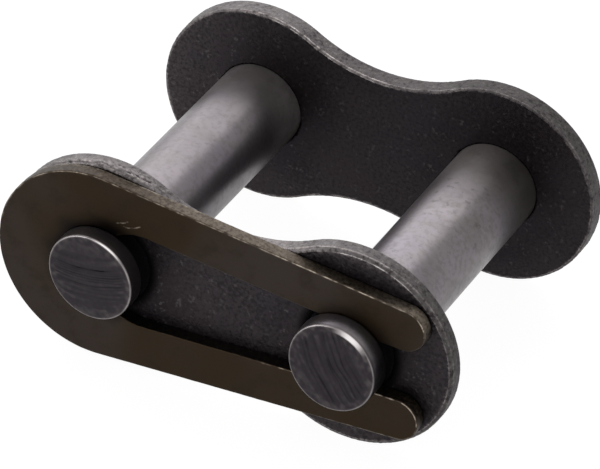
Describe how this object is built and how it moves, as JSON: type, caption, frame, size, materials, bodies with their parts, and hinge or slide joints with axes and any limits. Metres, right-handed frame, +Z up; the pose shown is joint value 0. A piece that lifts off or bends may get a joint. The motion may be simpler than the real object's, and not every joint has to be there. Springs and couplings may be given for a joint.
{
  "type": "roller chain connecting link",
  "caption": "Connecting link for a roller chain: two waisted steel plates joined by grooved pins, held shut by a flat forked spring clip.",
  "frame": {"origin": "centre of the pin plate's inner face, midway between the two pins", "axes": "+X along the chain, +Y across it from the cover plate to the pin plate, +Z up"},
  "size_m": [0.0233, 0.0185, 0.0104],
  "materials": {
    "plate_steel": "dark charcoal heat-treated steel, grainy from shot peening, with paler sheared edges",
    "pin_steel": "ground grey steel with a soft sheen and faint stains",
    "clip_steel": "smooth bronze-brown tempered spring steel, satin"
  },
  "bodies": {
    "root": {"pin_plate": "plate_steel", "left_pin": "pin_steel", "right_pin": "pin_steel", "cover_plate": "plate_steel", "spring_clip": "clip_steel"}
  },
  "joints": []
}
